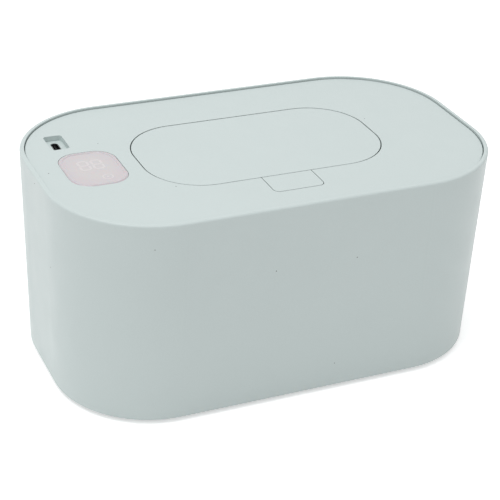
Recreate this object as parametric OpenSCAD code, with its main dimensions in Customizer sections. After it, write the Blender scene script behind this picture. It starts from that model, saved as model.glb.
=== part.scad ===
// Baby wipe warmer: a drafted double-walled tub with a lift-off heated cover, a hidden-hinge
// dispensing flap, a push-button release, a digit display and a power socket in a pocket.
// Millimetres, +Z up, front at -Y, origin at the middle of the base under the feet.

/* [Body] */
// Overall width, left to right
body_w = 200; // [185:1:240]
// Overall depth, front to back
body_d = 120; // [119:1:150]
// Overall height, standing on its feet
body_h = 95; // [85:1:130]
// Plan radius of the body's corners at the rim
corner_r = 45; // [44:0.5:50]
// Draft: how far each side leans in from rim to base
draft = 2.5; // [1:0.1:3.5]
// Thickness of the outer wall
shell_t = 2; // [1.8:0.1:2.3]
// Thickness of the tub's floor
floor_t = 2.4; // [2:0.1:4]
// Width of the flat rim round the cover
rim_w = 2; // [1.8:0.1:2.5]
// Rounding of the rim's outer edge
rim_round = 1; // [0.4:0.1:1.5]
// Rounding of the base edge
base_round = 1.5; // [0.5:0.1:2]
// How far the inner ledge under the rim reaches in
ledge_w = 1.6; // [1.2:0.1:2]

/* [Feet] */
// Radius of each rubber foot
foot_r = 7; // [5:0.5:9]
// How far a foot stands proud of the floor
foot_h = 1.5; // [1:0.1:3]
// Depth of the pocket that a foot is glued into
foot_pocket = 1; // [0.6:0.1:1.3]
// From the body's side to the middle of a foot
foot_side = 32; // [26:1:40]
// From the body's front or back to the middle of a foot
foot_end = 26; // [22:1:30]

/* [Liner] */
// Wall of the wipes chamber
liner_t = 1.4; // [1.2:0.1:1.6]
// Floor of the wipes chamber
liner_floor_t = 1.6; // [1.2:0.1:2.5]
// Rounding inside the bottom of the chamber
liner_round = 6; // [3:0.5:9]
// Flange by which the liner hangs on the ledge
flange_t = 1.6; // [1.2:0.1:2]
// Foam sleeve in the double wall
foam_t = 1.8; // [1.5:0.1:2]
// Foam pad under the chamber
floor_foam_t = 3.4; // [2:0.1:6]
// Air left on each side of the foam
foam_gap = 0.3; // [0.2:0.05:0.4]

/* [Cover] */
// How far the panel lies below the rim
panel_drop = 0.8; // [0.4:0.1:1.2]
// Thickness of the panel
panel_t = 2.2; // [2:0.1:2.3]
// Seam between rim and panel
panel_gap = 0.35; // [0.25:0.05:0.5]
// From the panel's top to the underside of the cover's base
cover_depth = 16.8; // [16.6:0.1:20]
// Thickness of the base's floor
base_t = 1.6; // [1.4:0.1:1.8]
// Rounding of the base's lower edge
base_heel = 1.2; // [0.6:0.1:1.3]
// Room between the skirt and the chamber wall
skirt_gap = 1.2; // [1:0.05:1.3]
// Thickness of the skirt
skirt_t = 1.8; // [1.6:0.1:2]
// From the panel's top to the joint between skirt and base
split_drop = 10.2; // [9.8:0.1:10.6]
// Height and thickness of the lip that centres the base in the skirt
lip_h = 2; // [1:0.1:2.2]
lip_t = 1.2; // [1:0.1:1.4]
// Height of the gasket, and the gap it keeps to the chamber wall
gasket_h = 2.2; // [1.6:0.1:2.4]
gasket_gap = 0.3; // [0.2:0.05:0.4]

/* [Flap] */
// Width of the flap
flap_w = 108.5; // [100:0.5:112]
// From the body's front or back to the flap
flap_end = 30; // [28:0.5:31]
// Corner radius of the flap
flap_r = 24; // [20:0.5:27]
// Seam round the flap
flap_gap = 0.5; // [0.45:0.01:0.6]
// Thickness of the flap's outer lid
lid_t = 2; // [1.8:0.1:2.2]
// Upright part of the lid's edge; the rest is bevelled so that it swings clear
lid_land = 0.3; // [0.2:0.05:0.4]
// Thickness of the frame inside the flap
frame_t = 1.6; // [1.4:0.1:2]
// How far the frame lies inside the lid's edge
frame_inset = 1.9; // [1.85:0.05:2.2]
// Depth of the well under the flap
well_depth = 8; // [7.8:0.1:8.3]
// Wall of the well
well_t = 1.6; // [1.4:0.1:1.7]

/* [Hinge] */
// Pivot's distance behind the flap's edge
pivot_back = 5; // [4.9:0.05:5.3]
// Pivot's distance below the panel's top
pivot_drop = 4.4; // [4.35:0.05:4.6]
// Radius of the hinge pin
pin_r = 1; // [0.8:0.05:1.1]
// Running clearance of the pin in its bores, on the radius
pin_gap = 0.05; // [0.02:0.01:0.08]
// Radius of the arm's knuckle
knuckle_r = 2; // [1.9:0.05:2.05]
// Middle of each goose-neck arm, from the centre line
arm_x = 26; // [24:0.5:28]
// Width and thickness of an arm
arm_w = 4; // [3:0.1:4.5]
arm_t = 2.2; // [2:0.1:2.4]
// Room that the arm's crook leaves round the panel's edge
crook_gap = 0.5; // [0.4:0.05:0.6]
// Ears that carry the pin: radius, thickness and side play
ear_r = 3; // [2.6:0.1:3.2]
ear_t = 2; // [1.6:0.1:2.4]
ear_gap = 0.3; // [0.2:0.05:0.4]
// Wire, coil radius and turns of the two opening springs
hinge_wire_r = 0.3; // [0.2:0.05:0.3]
hinge_coil_r = 1.6; // [1.55:0.05:1.6]
hinge_pitch = 0.75; // [0.7:0.05:0.85]

/* [Release button] */
// Width and depth of the button
button_w = 22.5; // [20:0.5:26]
button_d = 14.1; // [13.5:0.1:15]
// Rounding of the button's front corners
button_r = 2.5; // [1.5:0.1:4]
// Seam round the button
button_gap = 0.35; // [0.25:0.05:0.45]
// Thickness of the button's top and of its skirt
button_t = 2; // [1.6:0.1:2.2]
button_wall = 1.2; // [1:0.1:1.4]
// How far the button is pressed
press = 1.5; // [1.2:0.1:1.6]
// Plate of the latch slider, and the retainer it runs on
slider_t = 2.2; // [2:0.1:2.3]
retainer_t = 1.2; // [1:0.1:1.4]
// Wire, coil radius and turns of the latch spring
latch_wire_r = 0.25; // [0.2:0.01:0.3]
latch_coil_r = 1.3; // [1.1:0.05:1.3]
latch_turns = 5; // [4:1:6]

/* [Display] */
// Width and depth of the window
display_w = 25; // [22:0.5:27]
display_d = 32; // [28:0.5:34]
// Corner radius of the window
display_r = 9; // [6:0.5:10]
// From the body's left side to the middle of the window
display_side = 25.5; // [25:0.25:26.5]
// Seam round the window
display_gap = 0.15; // [0.1:0.05:0.3]
// Thickness of the window
window_t = 1.4; // [1.2:0.1:1.6]
// Width of the seat under the window's edge
seat_w = 2; // [1.5:0.1:2.5]

/* [Power socket] */
// Width, depth and corner radius of the pocket for the plug's grip
pocket_w = 8.2; // [8:0.1:9]
pocket_d = 14; // [13:0.25:14.5]
pocket_r = 1.5; // [1:0.1:2.5]
// How deep the pocket is
pocket_depth = 2.4; // [2:0.1:2.6]
// Floor and wall under the pocket
pocket_t = 1.2; // [1:0.1:1.4]
// From the body's left side and back to the middle of the socket
port_side = 18.5; // [18.5:0.1:19.5]
port_back = 31.2; // [31:0.1:32.5]
// Outside of the socket's shell, and its sheet
port_long = 8.94; // [8.9:0.01:9]
port_short = 3.26; // [3.2:0.01:3.3]
port_sheet = 0.3; // [0.25:0.01:0.35]

/* [Electronics] */
// Thickness of the board, and its top below the panel's top
pcb_t = 1.6; // [1:0.1:1.6]
pcb_drop = 8.6; // [8.4:0.1:8.8]
// Board's reach to the front of the centre line, behind the socket, and right of the display
pcb_front = 24; // [22:0.5:25]
pcb_behind = 8.2; // [7.2:0.1:9.2]
pcb_side = 12.5; // [12:0.5:13]
// Board's screws: right, left and to the front or back of the display's middle
pcb_screw_right = 6.5; // [6:0.5:7]
pcb_screw_left = 11.5; // [11:0.5:12]
pcb_screw_y = 18.5; // [18:0.5:19]
// Width and depth of the digit module
module_w = 19; // [16:0.5:20]
module_d = 26; // [22:0.5:27]

/* [Heating] */
// Aluminium plate, film heater and foam over it
plate_t = 1.2; // [1:0.1:1.4]
film_t = 0.3; // [0.2:0.05:0.4]
cap_foam_t = 1.5; // [1:0.1:1.6]
// Reach of the plate from the corner centres
plate_r = 22; // [20:0.5:22.5]
// Ledge that the plate lies on, all round
plate_seat = 3; // [2:0.5:4]
// Width of the guard bars under the plate
bar_w = 5; // [3:0.5:7]

/* [Dispensing opening] */
// Width of the soft insert's body, and its distance from the flap's front or back
outlet_w = 68; // [60:0.5:72]
outlet_end = 16; // [15:0.5:18]
// Reach and thickness of its flange
outlet_flange = 3; // [2:0.25:3.5]
outlet_flange_t = 1.2; // [1:0.1:1.5]
// Slot for the wipes, and the rubber left round the wide ends of it
slot_w = 42; // [36:0.5:46]
slot_d = 10; // [6:0.5:12]
slot_land = 6; // [5:0.25:7]
// Wall of the chute under the insert, and its distance from the insert
chute_t = 1.6; // [1.2:0.1:2]
chute_room = 2; // [1.6:0.1:2.4]

/* [Screws] */
// Thread and head of the cover screws
screw_r = 1.45; // [1.2:0.05:1.6]
head_r = 2.6; // [2.2:0.1:2.8]
head_h = 1.6; // [1.2:0.1:1.8]
// Radius of the bosses they go into, and how deep they bite
boss_r = 3.2; // [3:0.1:3.4]
screw_bite = 5; // [4:0.5:6]
// How much wider the base's boss is than the panel's
boss_wall = 0.6; // [0.4:0.1:0.8]
// Thread and head of the small screws inside
mini_r = 0.95; // [0.8:0.05:1]
mini_head_r = 1.8; // [1.6:0.1:2]
mini_head_h = 1.1; // [0.9:0.1:1.2]
// Radius of their bosses, and how deep they bite
mini_boss_r = 3; // [2.4:0.1:3.1]
mini_bite = 4; // [3:0.5:4.5]
// Width of the cross in a screw's head
cross_w = 0.6; // [0.4:0.1:0.8]
// Corner screws of the cover, out from the corner centres
corner_screw_x = 5; // [4:0.5:6]
corner_screw_y = 26; // [25:0.5:26.5]
// Rear screws, from the centre line and back from the corner centres
rear_screw_x = 20; // [18:0.5:21]
rear_screw_y = 30.5; // [30:0.1:30.8]

/* [Hidden] */
$fn = 64;

// Corner centres: every drafted wall, plate and seal of the body is measured out from them
ax = body_w / 2 - corner_r;
ay = body_d / 2 - corner_r;
flap_d = body_d - 2 * flap_end;
outlet_d = flap_d - 2 * outlet_end;
slot_end_r = outlet_d / 2 - slot_land;
cut = 1;                                    // how far a cutter runs past what it cuts
tip_room = 0.6;                             // room left beyond a screw's tip

// Heights, from the top down
z_panel = body_h - panel_drop;
z_under = z_panel - panel_t;
z_ledge = z_under - flange_t;
z_split = z_panel - split_drop;
z_base = z_panel - cover_depth;
z_well = z_panel - well_depth;
z_pivot = z_panel - pivot_drop;
z_floor = foot_h + floor_t;
z_foam = z_floor + floor_foam_t;
z_chamber = z_foam + foam_gap + liner_floor_t;

// Reach of each wall from the corner centres, at a height z
function shell_out(z) = corner_r - draft * (body_h - z) / (body_h - foot_h);
function shell_in(z) = shell_out(z) - shell_t;
function liner_out(z) = shell_in(z) - foam_t - 2 * foam_gap;
function liner_in(z) = liner_out(z) - liner_t;
lip_fit = 0.1;                              // play between lip and skirt
panel_out = corner_r - rim_w - panel_gap;
skirt_out = liner_in(z_under) - skirt_gap;
skirt_in = skirt_out - skirt_t;
lip_out = skirt_in - lip_fit;
lip_in = lip_out - lip_t;
ledge_land = 0.6;                           // upright nose of the ledge

// ---- shapes used by several pieces ----

// Centre of a rounding of radius r at corner p, between the edges towards a and b,
// and the point where the rounding leaves the edge towards a
function half_angle(p, a, b) = acos((a - p) * (b - p) / norm(a - p) / norm(b - p)) / 2;
function round_centre(p, a, b, r) = let (s = (a - p) / norm(a - p) + (b - p) / norm(b - p))
  p + s / norm(s) * r / sin(half_angle(p, a, b));
function round_start(p, a, b, r) = p + (a - p) / norm(a - p) * r / tan(half_angle(p, a, b));

// Waste outside such a rounding; its tip lies well outside the corner, so that it leaves no fin
module corner_waste(p, a, b, r) {
  c = round_centre(p, a, b, r);
  difference() {
    polygon([2 * p - c, round_start(p, a, b, r), c, round_start(p, b, a, r)]);
    translate(c) circle(r);
  }
}

// Rounded rectangle about the origin
module rounded(w, d, r) {
  if (w > 2 * r) square([w - 2 * r, d], center = true);
  if (d > 2 * r) square([w, d - 2 * r], center = true);
  for (x = [-1, 1], y = [-1, 1]) translate([x * (w / 2 - r), y * (d / 2 - r)]) circle(r);
}

// Slot with round ends
module stadium(w, d) {
  square([w - d, d], center = true);
  for (x = [-1, 1]) translate([x * (w - d) / 2, 0]) circle(d / 2);
}

// The body's own outline at a reach r from the corner centres
module outline(r) rounded(2 * (ax + r), 2 * (ay + r), r);

// The flap's outline, grown by g
module flap_outline(g) rounded(flap_w + 2 * g, flap_d + 2 * g, flap_r + g);

// Carries a wall profile once round a rounded rectangle with corner centres at (cx, cy)
module round_loop(cx, cy) {
  for (mx = [0, 1], my = [0, 1])
    mirror([mx, 0, 0]) mirror([0, my, 0]) translate([cx, cy, 0]) rotate_extrude(angle = 90) children();
  if (cy > 0) for (m = [0, 1])
    mirror([m, 0, 0]) translate([cx, cy, 0]) rotate([90, 0, 0]) linear_extrude(2 * cy) children();
  if (cx > 0) for (m = [0, 1])
    mirror([0, m, 0]) translate([-cx, cy, 0]) rotate([90, 0, 90]) linear_extrude(2 * cx) children();
}

// Fills the middle that such a loop leaves open
module core(cx, cy, z0, z1) {
  if (cx > 0 && cy > 0) translate([-cx, -cy, z0]) cube([2 * cx, 2 * cy, z1 - z0]);
}

// Wall profile carried round the body
module around() round_loop(ax, ay) children();

// Plate with a rounded top edge
module soft_plate(w, d, r, z0, z1, edge) {
  round_loop(w / 2 - r, d / 2 - r) difference() {
    translate([0, z0]) square([r, z1 - z0]);
    corner_waste([r, z1], [0, z1], [r, z0], edge);
  }
  core(w / 2 - r, d / 2 - r, z0, z1);
}

// Tube along a path; ref is a direction that the path never takes
module tube(path, radius, sides, ref) {
  last = len(path) - 1;
  function heading(i) = path[min(i + 1, last)] - path[max(i - 1, 0)];
  function across(i) = let (s = cross(heading(i), ref)) s / norm(s);
  function upward(i) = let (u = cross(across(i), heading(i))) u / norm(u);
  ring_points = [for (i = [0:last], k = [0:sides - 1])
    path[i] + radius * (cos(360 * k / sides) * across(i) + sin(360 * k / sides) * upward(i))];
  skin = [for (i = [0:last - 1], k = [0:sides - 1])
    let (a = i * sides + k, b = i * sides + (k + 1) % sides)
      each [[a, a + sides, b + sides], [a, b + sides, b]]];
  ends = [[for (k = [0:sides - 1]) k], [for (k = [sides - 1:-1:0]) last * sides + k]];
  polyhedron(ring_points, concat(skin, ends));
}

// ---- tub ----

foot_xy = [for (x = [-1, 1], y = [-1, 1]) [x * (body_w / 2 - foot_side), y * (body_d / 2 - foot_end)]];
foot_fit = 0.1;                             // room round a foot in its pocket
foot_edge = 0.6;                            // rounding of a foot's sole

module shell_profile() {
  top = [corner_r, body_h];
  heel = [shell_out(foot_h), foot_h];
  ledge_in = corner_r - rim_w - ledge_w;
  z_heel = z_ledge - ledge_land - ledge_w;
  difference() {
    polygon([[0, foot_h], heel, top, [corner_r - rim_w, body_h], [corner_r - rim_w, z_ledge],
             [ledge_in, z_ledge], [ledge_in, z_ledge - ledge_land], [shell_in(z_heel), z_heel],
             [shell_in(z_floor), z_floor], [0, z_floor]]);
    corner_waste(top, heel, [0, body_h], rim_round);
    corner_waste(heel, [0, foot_h], top, base_round);
  }
}

module tub_shell() {
  color("#cdd6d4")
    difference() {
      union() {
        around() shell_profile();
        core(ax, ay, foot_h, z_floor);
      }
      for (p = foot_xy)
        translate([p.x, p.y, foot_h - cut]) cylinder(r = foot_r + foot_fit, h = foot_pocket + cut);
    }
}

module liner_profile() {
  z_bottom = z_foam + foam_gap;
  heel = [liner_out(z_bottom), z_bottom];
  nook = [liner_in(z_chamber), z_chamber];
  flange_out = corner_r - rim_w - foam_gap;
  shoulder = [liner_out(z_ledge), z_ledge];
  brim = [liner_in(z_under), z_under];
  centre = round_centre(nook, [0, z_chamber], brim, liner_round);
  difference() {
    polygon([[0, z_bottom], heel, shoulder, [flange_out, z_ledge], [flange_out, z_under], [0, z_under]]);
    corner_waste(heel, [0, z_bottom], shoulder, liner_round + liner_t);
    polygon([[-cut, z_chamber], round_start(nook, [0, z_chamber], brim, liner_round), centre,
             round_start(nook, brim, [0, z_chamber], liner_round), brim,
             [brim.x, z_under + cut], [-cut, z_under + cut]]);
    translate(centre) circle(liner_round);
  }
}

module tub_liner() {
  color("#e4e9e8") {
    around() liner_profile();
    core(ax, ay, z_foam + foam_gap, z_chamber);
  }
}

module wall_insulation() {
  z_top = z_ledge - ledge_land - ledge_w - 2 * foam_gap;
  color("#f3f1ea")
    around() polygon([for (s = [[z_foam, 0], [z_foam, foam_t], [z_top, foam_t], [z_top, 0]])
      [shell_in(s[0]) - foam_gap - s[1], s[0]]]);
}

module floor_insulation() {
  color("#f3f1ea") translate([0, 0, z_floor])
    linear_extrude(floor_foam_t) outline(shell_in(z_floor) - foam_gap);
}

module feet() {
  tall = foot_h + foot_pocket;
  color("#8d9695")
    for (p = foot_xy) translate([p.x, p.y, 0]) rotate_extrude() difference() {
      square([foot_r, tall]);
      corner_waste([foot_r, 0], [0, 0], [foot_r, tall], foot_edge);
    }
}

// ---- cover: hinge and latch geometry ----

// Side view of the hinge, from the pivot: y backwards, z up. The panel's edge over the crook
// lies at (edge_y, pivot_drop); at full opening it has come round to (-pivot_drop, edge_y).
edge_y = -(pivot_back - flap_gap);
crook_in = norm([edge_y, pivot_drop]) + crook_gap;
crook_out = crook_in + arm_t;
leg_z = -sqrt(pow(crook_in, 2) - pow(pivot_drop, 2));
pivot_y = flap_d / 2 + pivot_back;
spring_room = 5 * hinge_pitch + 4 * hinge_wire_r + 0.4;
ear_xs = [arm_x + arm_w / 2 + ear_gap, arm_x - arm_w / 2 - ear_gap - spring_room - ear_t];
arm_slot = arm_w / 2 + 0.6;                 // half width of the slot an arm moves in
spring_turns = 3.75;
stop_y = pivot_y + 4.6;                     // front of the rib that each spring's leg lies under
stop = [2, 1.4];                            // width and thickness of that rib
stop_z = z_pivot - hinge_coil_r + hinge_wire_r + 0.1;

// Release: the flap's catch stops just short of the latch nose, so both move freely by themselves
button_back = -(flap_d / 2 + flap_gap);
button_y = button_back - button_d / 2;
hole_w = button_w + 2 * button_gap;
sleeve_t = 1.4;                             // guide walls round the button
sleeve_lift = 4;                            // room for the slider under the front wall
catch_y = -flap_d / 2 + 0.5;                // front of the catch's lip
catch_z = z_well + 0.6;                     // underside of the catch
catch_lip = 1;                              // thickness of the lip
catch_w = 7;
nose_z = catch_z + catch_lip + 0.2;         // underside of the latch nose
nose_t = 1.4;
nose_y = catch_y - 0.2;                     // tip of the latch nose
slide_gap = 0.1;                            // play of the slider on the retainer
z_retainer = z_split - 0.4;                 // top of the retainer
slider_z = z_retainer + slide_gap;          // underside of the slider
slider_top = slider_z + slider_t;
upstand_w = 8;
upstand_t = 1.9;                            // thickness of the slider's upstand
latch_gap = 0.4;                            // room between the upstand and the well's wall
upstand = [button_back - well_t - latch_gap - upstand_t, button_back - well_t - latch_gap];
post_w = 6;
post_t = 3.5;                               // thickness of the button's wedge
post_back = 2.6;                            // room between the wedge and the upstand
post = [upstand[0] - post_back - post_t, upstand[0] - post_back];
post_z = slider_top + 0.6;                  // bottom of the button's wedge
ramp_h = 2;                                 // height of its 45 degree face
ramp_gap = 0.1;                             // play between wedge and ramp
ramp_d = 1;                                 // flat top of the ramp
ramp_w = 7;
slider_front = post[0] - 4.5;               // front end of the slider
spring_seat = -(ay + lip_in);               // inside of the base's lip, at the front
retainer_screw = [hole_w / 2 + sleeve_t + 0.8 * mini_boss_r, slider_front + 3.5];
lug_y = [button_y - 2, button_y + 2];
lug_t = 1;
lug_out = button_gap + 1;                   // how far a lug reaches past the button's side
lug_z = nose_z + 0.4;                       // underside of the button's skirt and lugs
lug_room = [0.5, 0.2];                      // room in front, behind, above and below a lug
wall_top = lug_z - press - 0.3;             // top of the well's wall under the button

// ---- cover: places shared by its pieces ----

display_x = -body_w / 2 + display_side;
port_x = -body_w / 2 + port_side;
port_y = body_d / 2 - port_back;
z_pocket = z_panel - pocket_depth;
z_pcb = z_panel - pcb_drop;
pcb_right = display_x + pcb_side;
pcb_back = port_y + pcb_behind;
pcb_xy = [[display_x + pcb_screw_right, -pcb_screw_y], [display_x + pcb_screw_right, pcb_screw_y],
          [display_x - pcb_screw_left, -pcb_screw_y]];
pcb_fit = 0.5;                              // room between the board and the base's lip
cover_xy = concat([for (x = [-1, 1], y = [-1, 1]) [x * (ax + corner_screw_x), y * (ay + corner_screw_y)]],
                  [for (x = [-1, 1]) [x * rear_screw_x, ay + rear_screw_y]]);
hole_fit = 0.1;                             // play of a screw in a plain hole
head_room = [0.3, 0.2];                     // beside and behind a cover screw's head
chute_w = outlet_w + 2 * chute_room;
chute_d = outlet_d + 2 * chute_room;
z_plate = z_base + base_t;                  // the plate lies on the base's floor
z_film = z_plate + plate_t;
z_cap = z_film + film_t;
plate_fit = 0.4;                            // plate to chute
film_in = [1.5, 2];                         // film's edges, in from the plate's and out from the chute
cap_in = [0.5, 0.6];                        // the same for the foam
lead_y = [-6, -3];
lead_r = 0.6;
lead_x = pcb_right + 8;
lead_hole = 1.5;                            // half width of the hole in the foam round the leads
cutout_xy = [lead_x + 2.5, lead_y[0] - 7];
cutout_r = [3.6, 2.8];                      // thermal cut-out's flange and cap
cutout_h = [1.2, 3];
port_fit = 0.1;                             // room round the socket in the pocket's floor
gasket_drop = 2;                            // from the panel's underside to the gasket
groove_d = 0.7;                             // depth of the gasket's groove
groove_fit = [0.05, 0.1];                   // play behind, above and below the gasket

// ---- cover: pieces ----

module ear(x) {
  translate([x, pivot_y, z_pivot]) rotate([90, 0, 90]) linear_extrude(ear_t) {
    circle(ear_r);
    translate([-ear_r, 0]) square([2 * ear_r, z_under - z_pivot]);
  }
}

// Bore for the hinge pin
module pin_hole() {
  translate([-body_w / 4, pivot_y, z_pivot]) rotate([0, 90, 0]) cylinder(r = pin_r + pin_gap, h = body_w / 2);
}

// Hole for a screw that comes up from below
module screw_hole(r, bite) translate([0, 0, -cut]) cylinder(r = r + pin_gap, h = cut + bite + tip_room);

module well_block() {
  translate([0, 0, z_well - well_t])
    linear_extrude(z_under - z_well + well_t) flap_outline(flap_gap + well_t);
}

module button_sleeve() {
  half = hole_w / 2 + sleeve_t;
  front = button_back - button_d - button_gap;
  rear = button_back - well_t + 0.5;          // runs into the well's wall
  for (m = [0, 1]) mirror([m, 0, 0]) translate([hole_w / 2, front - sleeve_t, z_retainer])
    cube([sleeve_t, rear - front + sleeve_t, z_under - z_retainer]);
  translate([-half, front - sleeve_t, slider_top + sleeve_lift])
    cube([2 * half, sleeve_t, z_under - slider_top - sleeve_lift]);
}

module button_hole() {
  depth = button_d + button_gap;
  r = button_r + button_gap;
  translate([0, button_back, wall_top]) linear_extrude(z_panel - wall_top + cut) {
    translate([-hole_w / 2, r - depth]) square([hole_w, depth - r + flap_gap + cut]);
    translate([0, -depth / 2]) rounded(hole_w, depth, r);
  }
}

module panel_solids() {
  soft_plate(2 * (ax + panel_out), 2 * (ay + panel_out), panel_out, z_under, z_panel, 0.3);
  around() difference() {
    translate([skirt_in, z_split]) square([skirt_t, z_under - z_split]);
    translate([skirt_out - groove_d, z_under - gasket_drop - gasket_h - groove_fit[1]])
      square([cut, gasket_h + 2 * groove_fit[1]]);
  }
  difference() {
    well_block();
    button_hole();
  }
  button_sleeve();
  for (m = [0, 1], x = ear_xs) mirror([m, 0, 0]) ear(x);
  for (m = [0, 1]) mirror([m, 0, 0]) translate([ear_xs[1] + ear_t + 0.5, stop_y, stop_z])
    cube([stop.x, stop.y, z_under - stop_z]);
  for (p = cover_xy) translate([p.x, p.y, z_split]) cylinder(r = boss_r, h = z_under - z_split);
  for (p = pcb_xy) translate([p.x, p.y, z_pcb]) cylinder(r = mini_boss_r - 0.5, h = z_under - z_pcb);
  for (m = [0, 1]) mirror([m, 0, 0]) translate([retainer_screw.x, retainer_screw.y, z_retainer])
    cylinder(r = mini_boss_r, h = z_under - z_retainer);
  translate([0, 0, z_pocket - pocket_t]) linear_extrude(z_panel - z_pocket) intersection() {
    translate([port_x, port_y])
      rounded(pocket_w + 2 * pocket_t, pocket_d + 2 * pocket_t, pocket_r + pocket_t);
    outline(skirt_out);
  }
}

module cover_panel() {
  color("#d2dbda") difference() {
    panel_solids();
    // flap opening and its well
    translate([0, 0, z_well]) linear_extrude(well_depth + cut) flap_outline(flap_gap);
    // hole in the well's floor for the soft insert
    translate([0, 0, z_well - well_t - cut]) linear_extrude(well_t + 2 * cut) stadium(outlet_w, outlet_d);
    button_hole();
    // window for the button's side lugs
    translate([-hole_w / 2 - sleeve_t - cut, lug_y[0] - lug_room[0], lug_z - press - lug_room[1]])
      cube([hole_w + 2 * sleeve_t + 2 * cut, lug_y[1] - lug_y[0] + 2 * lug_room[0],
            press + lug_t + 2 * lug_room[1]]);
    // slots for the goose-neck arms, through the well's rear wall and floor
    for (m = [0, 1]) mirror([m, 0, 0])
      translate([arm_x - arm_slot, pivot_y - crook_out - crook_gap, z_well - well_t - cut])
        cube([2 * arm_slot, crook_out + crook_gap + edge_y + well_t + 0.01, z_under - z_well + well_t + cut]);
    // pin bores in the ears
    pin_hole();
    // window seat
    translate([display_x, 0, z_panel - window_t]) linear_extrude(window_t + cut)
      rounded(display_w + 2 * display_gap, display_d + 2 * display_gap, display_r + display_gap);
    translate([display_x, 0, z_under - cut]) linear_extrude(panel_t + 2 * cut)
      rounded(display_w - 2 * seat_w, display_d - 2 * seat_w, display_r - seat_w);
    // plug pocket and the socket's slot in its floor
    translate([port_x, port_y, z_pocket])
      linear_extrude(pocket_depth + cut) rounded(pocket_w, pocket_d, pocket_r);
    translate([port_x, port_y, z_pocket - pocket_t - cut]) linear_extrude(pocket_t + 2 * cut)
      rotate(90) stadium(port_long + 2 * port_fit, port_short + 2 * port_fit);
    // screw holes
    for (p = cover_xy) translate([p.x, p.y, z_split]) screw_hole(screw_r, screw_bite);
    for (p = pcb_xy) translate([p.x, p.y, z_pcb]) screw_hole(mini_r, mini_bite);
    for (x = [-1, 1])
      translate([x * retainer_screw.x, retainer_screw.y, z_retainer]) screw_hole(mini_r, mini_bite);
  }
}

module cover_gasket() {
  z = z_under - gasket_drop - gasket_h;
  back = skirt_out - groove_d + groove_fit[0];
  tip = liner_in(z) - gasket_gap;
  color("#aab4b3")
    around() polygon([[back, z], [skirt_out, z], [tip, z + gasket_h / 4], [skirt_out, z + gasket_h / 2],
                      [tip, z + 3 * gasket_h / 4], [skirt_out, z + gasket_h], [back, z + gasket_h]]);
}

// Outline of the chute ring in the base that the plate's inner edge lies on
module chute_ring(g) stadium(chute_w + 2 * g, chute_d + 2 * g);

module base_profile() {
  heel = [skirt_out, z_base];
  wall_in = skirt_in + 0.2;
  lip_foot = 1.5;                             // slope that carries the lip
  difference() {
    polygon([[0, z_base], heel, [skirt_out, z_split], [lip_out, z_split], [lip_out, z_split + lip_h],
             [lip_in, z_split + lip_h], [lip_in, z_split - lip_t], [wall_in, z_split - lip_t - lip_foot],
             [wall_in, z_plate], [0, z_plate]]);
    corner_waste(heel, [0, z_base], [skirt_out, z_split], base_heel);
  }
}

module guard_windows() {
  linear_extrude(base_t + 2 * cut) difference() {
    outline(plate_r - plate_seat);
    chute_ring(chute_t + plate_seat);
    for (x = [-1, 1]) translate([x * arm_x, 0]) square([bar_w, body_d], center = true);
    square([body_w, bar_w], center = true);
  }
}

module cover_base() {
  color("#dde3e2") difference() {
    union() {
      around() base_profile();
      core(ax, ay, z_base, z_plate);
      translate([0, 0, z_base]) linear_extrude(z_well - well_t - z_base) chute_ring(chute_t);
      for (p = cover_xy) translate([p.x, p.y, z_base]) cylinder(r = boss_r + boss_wall, h = z_split - z_base);
    }
    translate([0, 0, z_base - cut]) linear_extrude(z_well - z_base + cut) chute_ring(0);
    translate([0, 0, z_base - cut]) guard_windows();
    for (p = cover_xy) translate([p.x, p.y, z_base - cut]) {
      cylinder(r = head_r + head_room[0], h = head_h + head_room[1] + cut);
      cylinder(r = screw_r + hole_fit, h = z_split - z_base + 2 * cut);
    }
  }
}

module cover_screws() {
  z_head = z_base + head_room[1];
  color("#9a9fa2") for (p = cover_xy) translate([p.x, p.y, z_head]) {
    difference() {
      cylinder(r = head_r, h = head_h);
      for (a = [0, 90]) rotate(a) cube([1.3 * cross_w, head_r, head_h], center = true);
    }
    cylinder(r = screw_r, h = z_split + screw_bite - z_head);
  }
}

module heater_plate() {
  color("#b9bcbd") translate([0, 0, z_plate]) linear_extrude(plate_t) difference() {
    outline(plate_r);
    chute_ring(chute_t + plate_fit);
  }
}

module heating_film() {
  color("#b8743a") translate([0, 0, z_film]) linear_extrude(film_t) difference() {
    outline(plate_r - film_in[0]);
    chute_ring(chute_t + film_in[1]);
  }
}

module heater_insulation() {
  color("#efece2") translate([0, 0, z_cap]) linear_extrude(cap_foam_t) difference() {
    outline(plate_r - cap_in[0]);
    chute_ring(chute_t + cap_in[1]);
    translate(cutout_xy) circle(cutout_r[0] + foam_gap);
    translate([lead_x - lead_hole, lead_y[0] - lead_hole])
      square([2 * lead_hole, lead_y[1] - lead_y[0] + 2 * lead_hole]);
  }
}

module thermal_cutout() {
  color("#3c4043") translate([cutout_xy.x, cutout_xy.y, z_cap])
    for (i = [0, 1]) cylinder(r = cutout_r[i], h = cutout_h[i]);
}

module heater_leads() {
  bend = 1;
  z_run = z_cap + cap_foam_t + lead_r + 0.3;
  x_end = pcb_right - 3;
  color("#d9d4c8") for (y = lead_y)
    tube(concat([[lead_x, y, z_cap]],
                [for (a = [0:30:90]) [lead_x - bend + bend * cos(a), y, z_run - bend + bend * sin(a)]],
                [for (a = [0:30:90]) [x_end + bend - bend * sin(a), y, z_run + bend - bend * cos(a)]],
                [[x_end, y, z_pcb - pcb_t]]), lead_r, 8, [0, 1, 0]);
}

module control_pcb() {
  color("#2f6b45") translate([0, 0, z_pcb - pcb_t]) linear_extrude(pcb_t) difference() {
    intersection() {
      outline(lip_in - pcb_fit);
      translate([-body_w / 2, -pcb_front]) square([body_w / 2 + pcb_right, pcb_front + pcb_back]);
    }
    for (p = pcb_xy) translate(p) circle(mini_r + hole_fit);
  }
}

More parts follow.
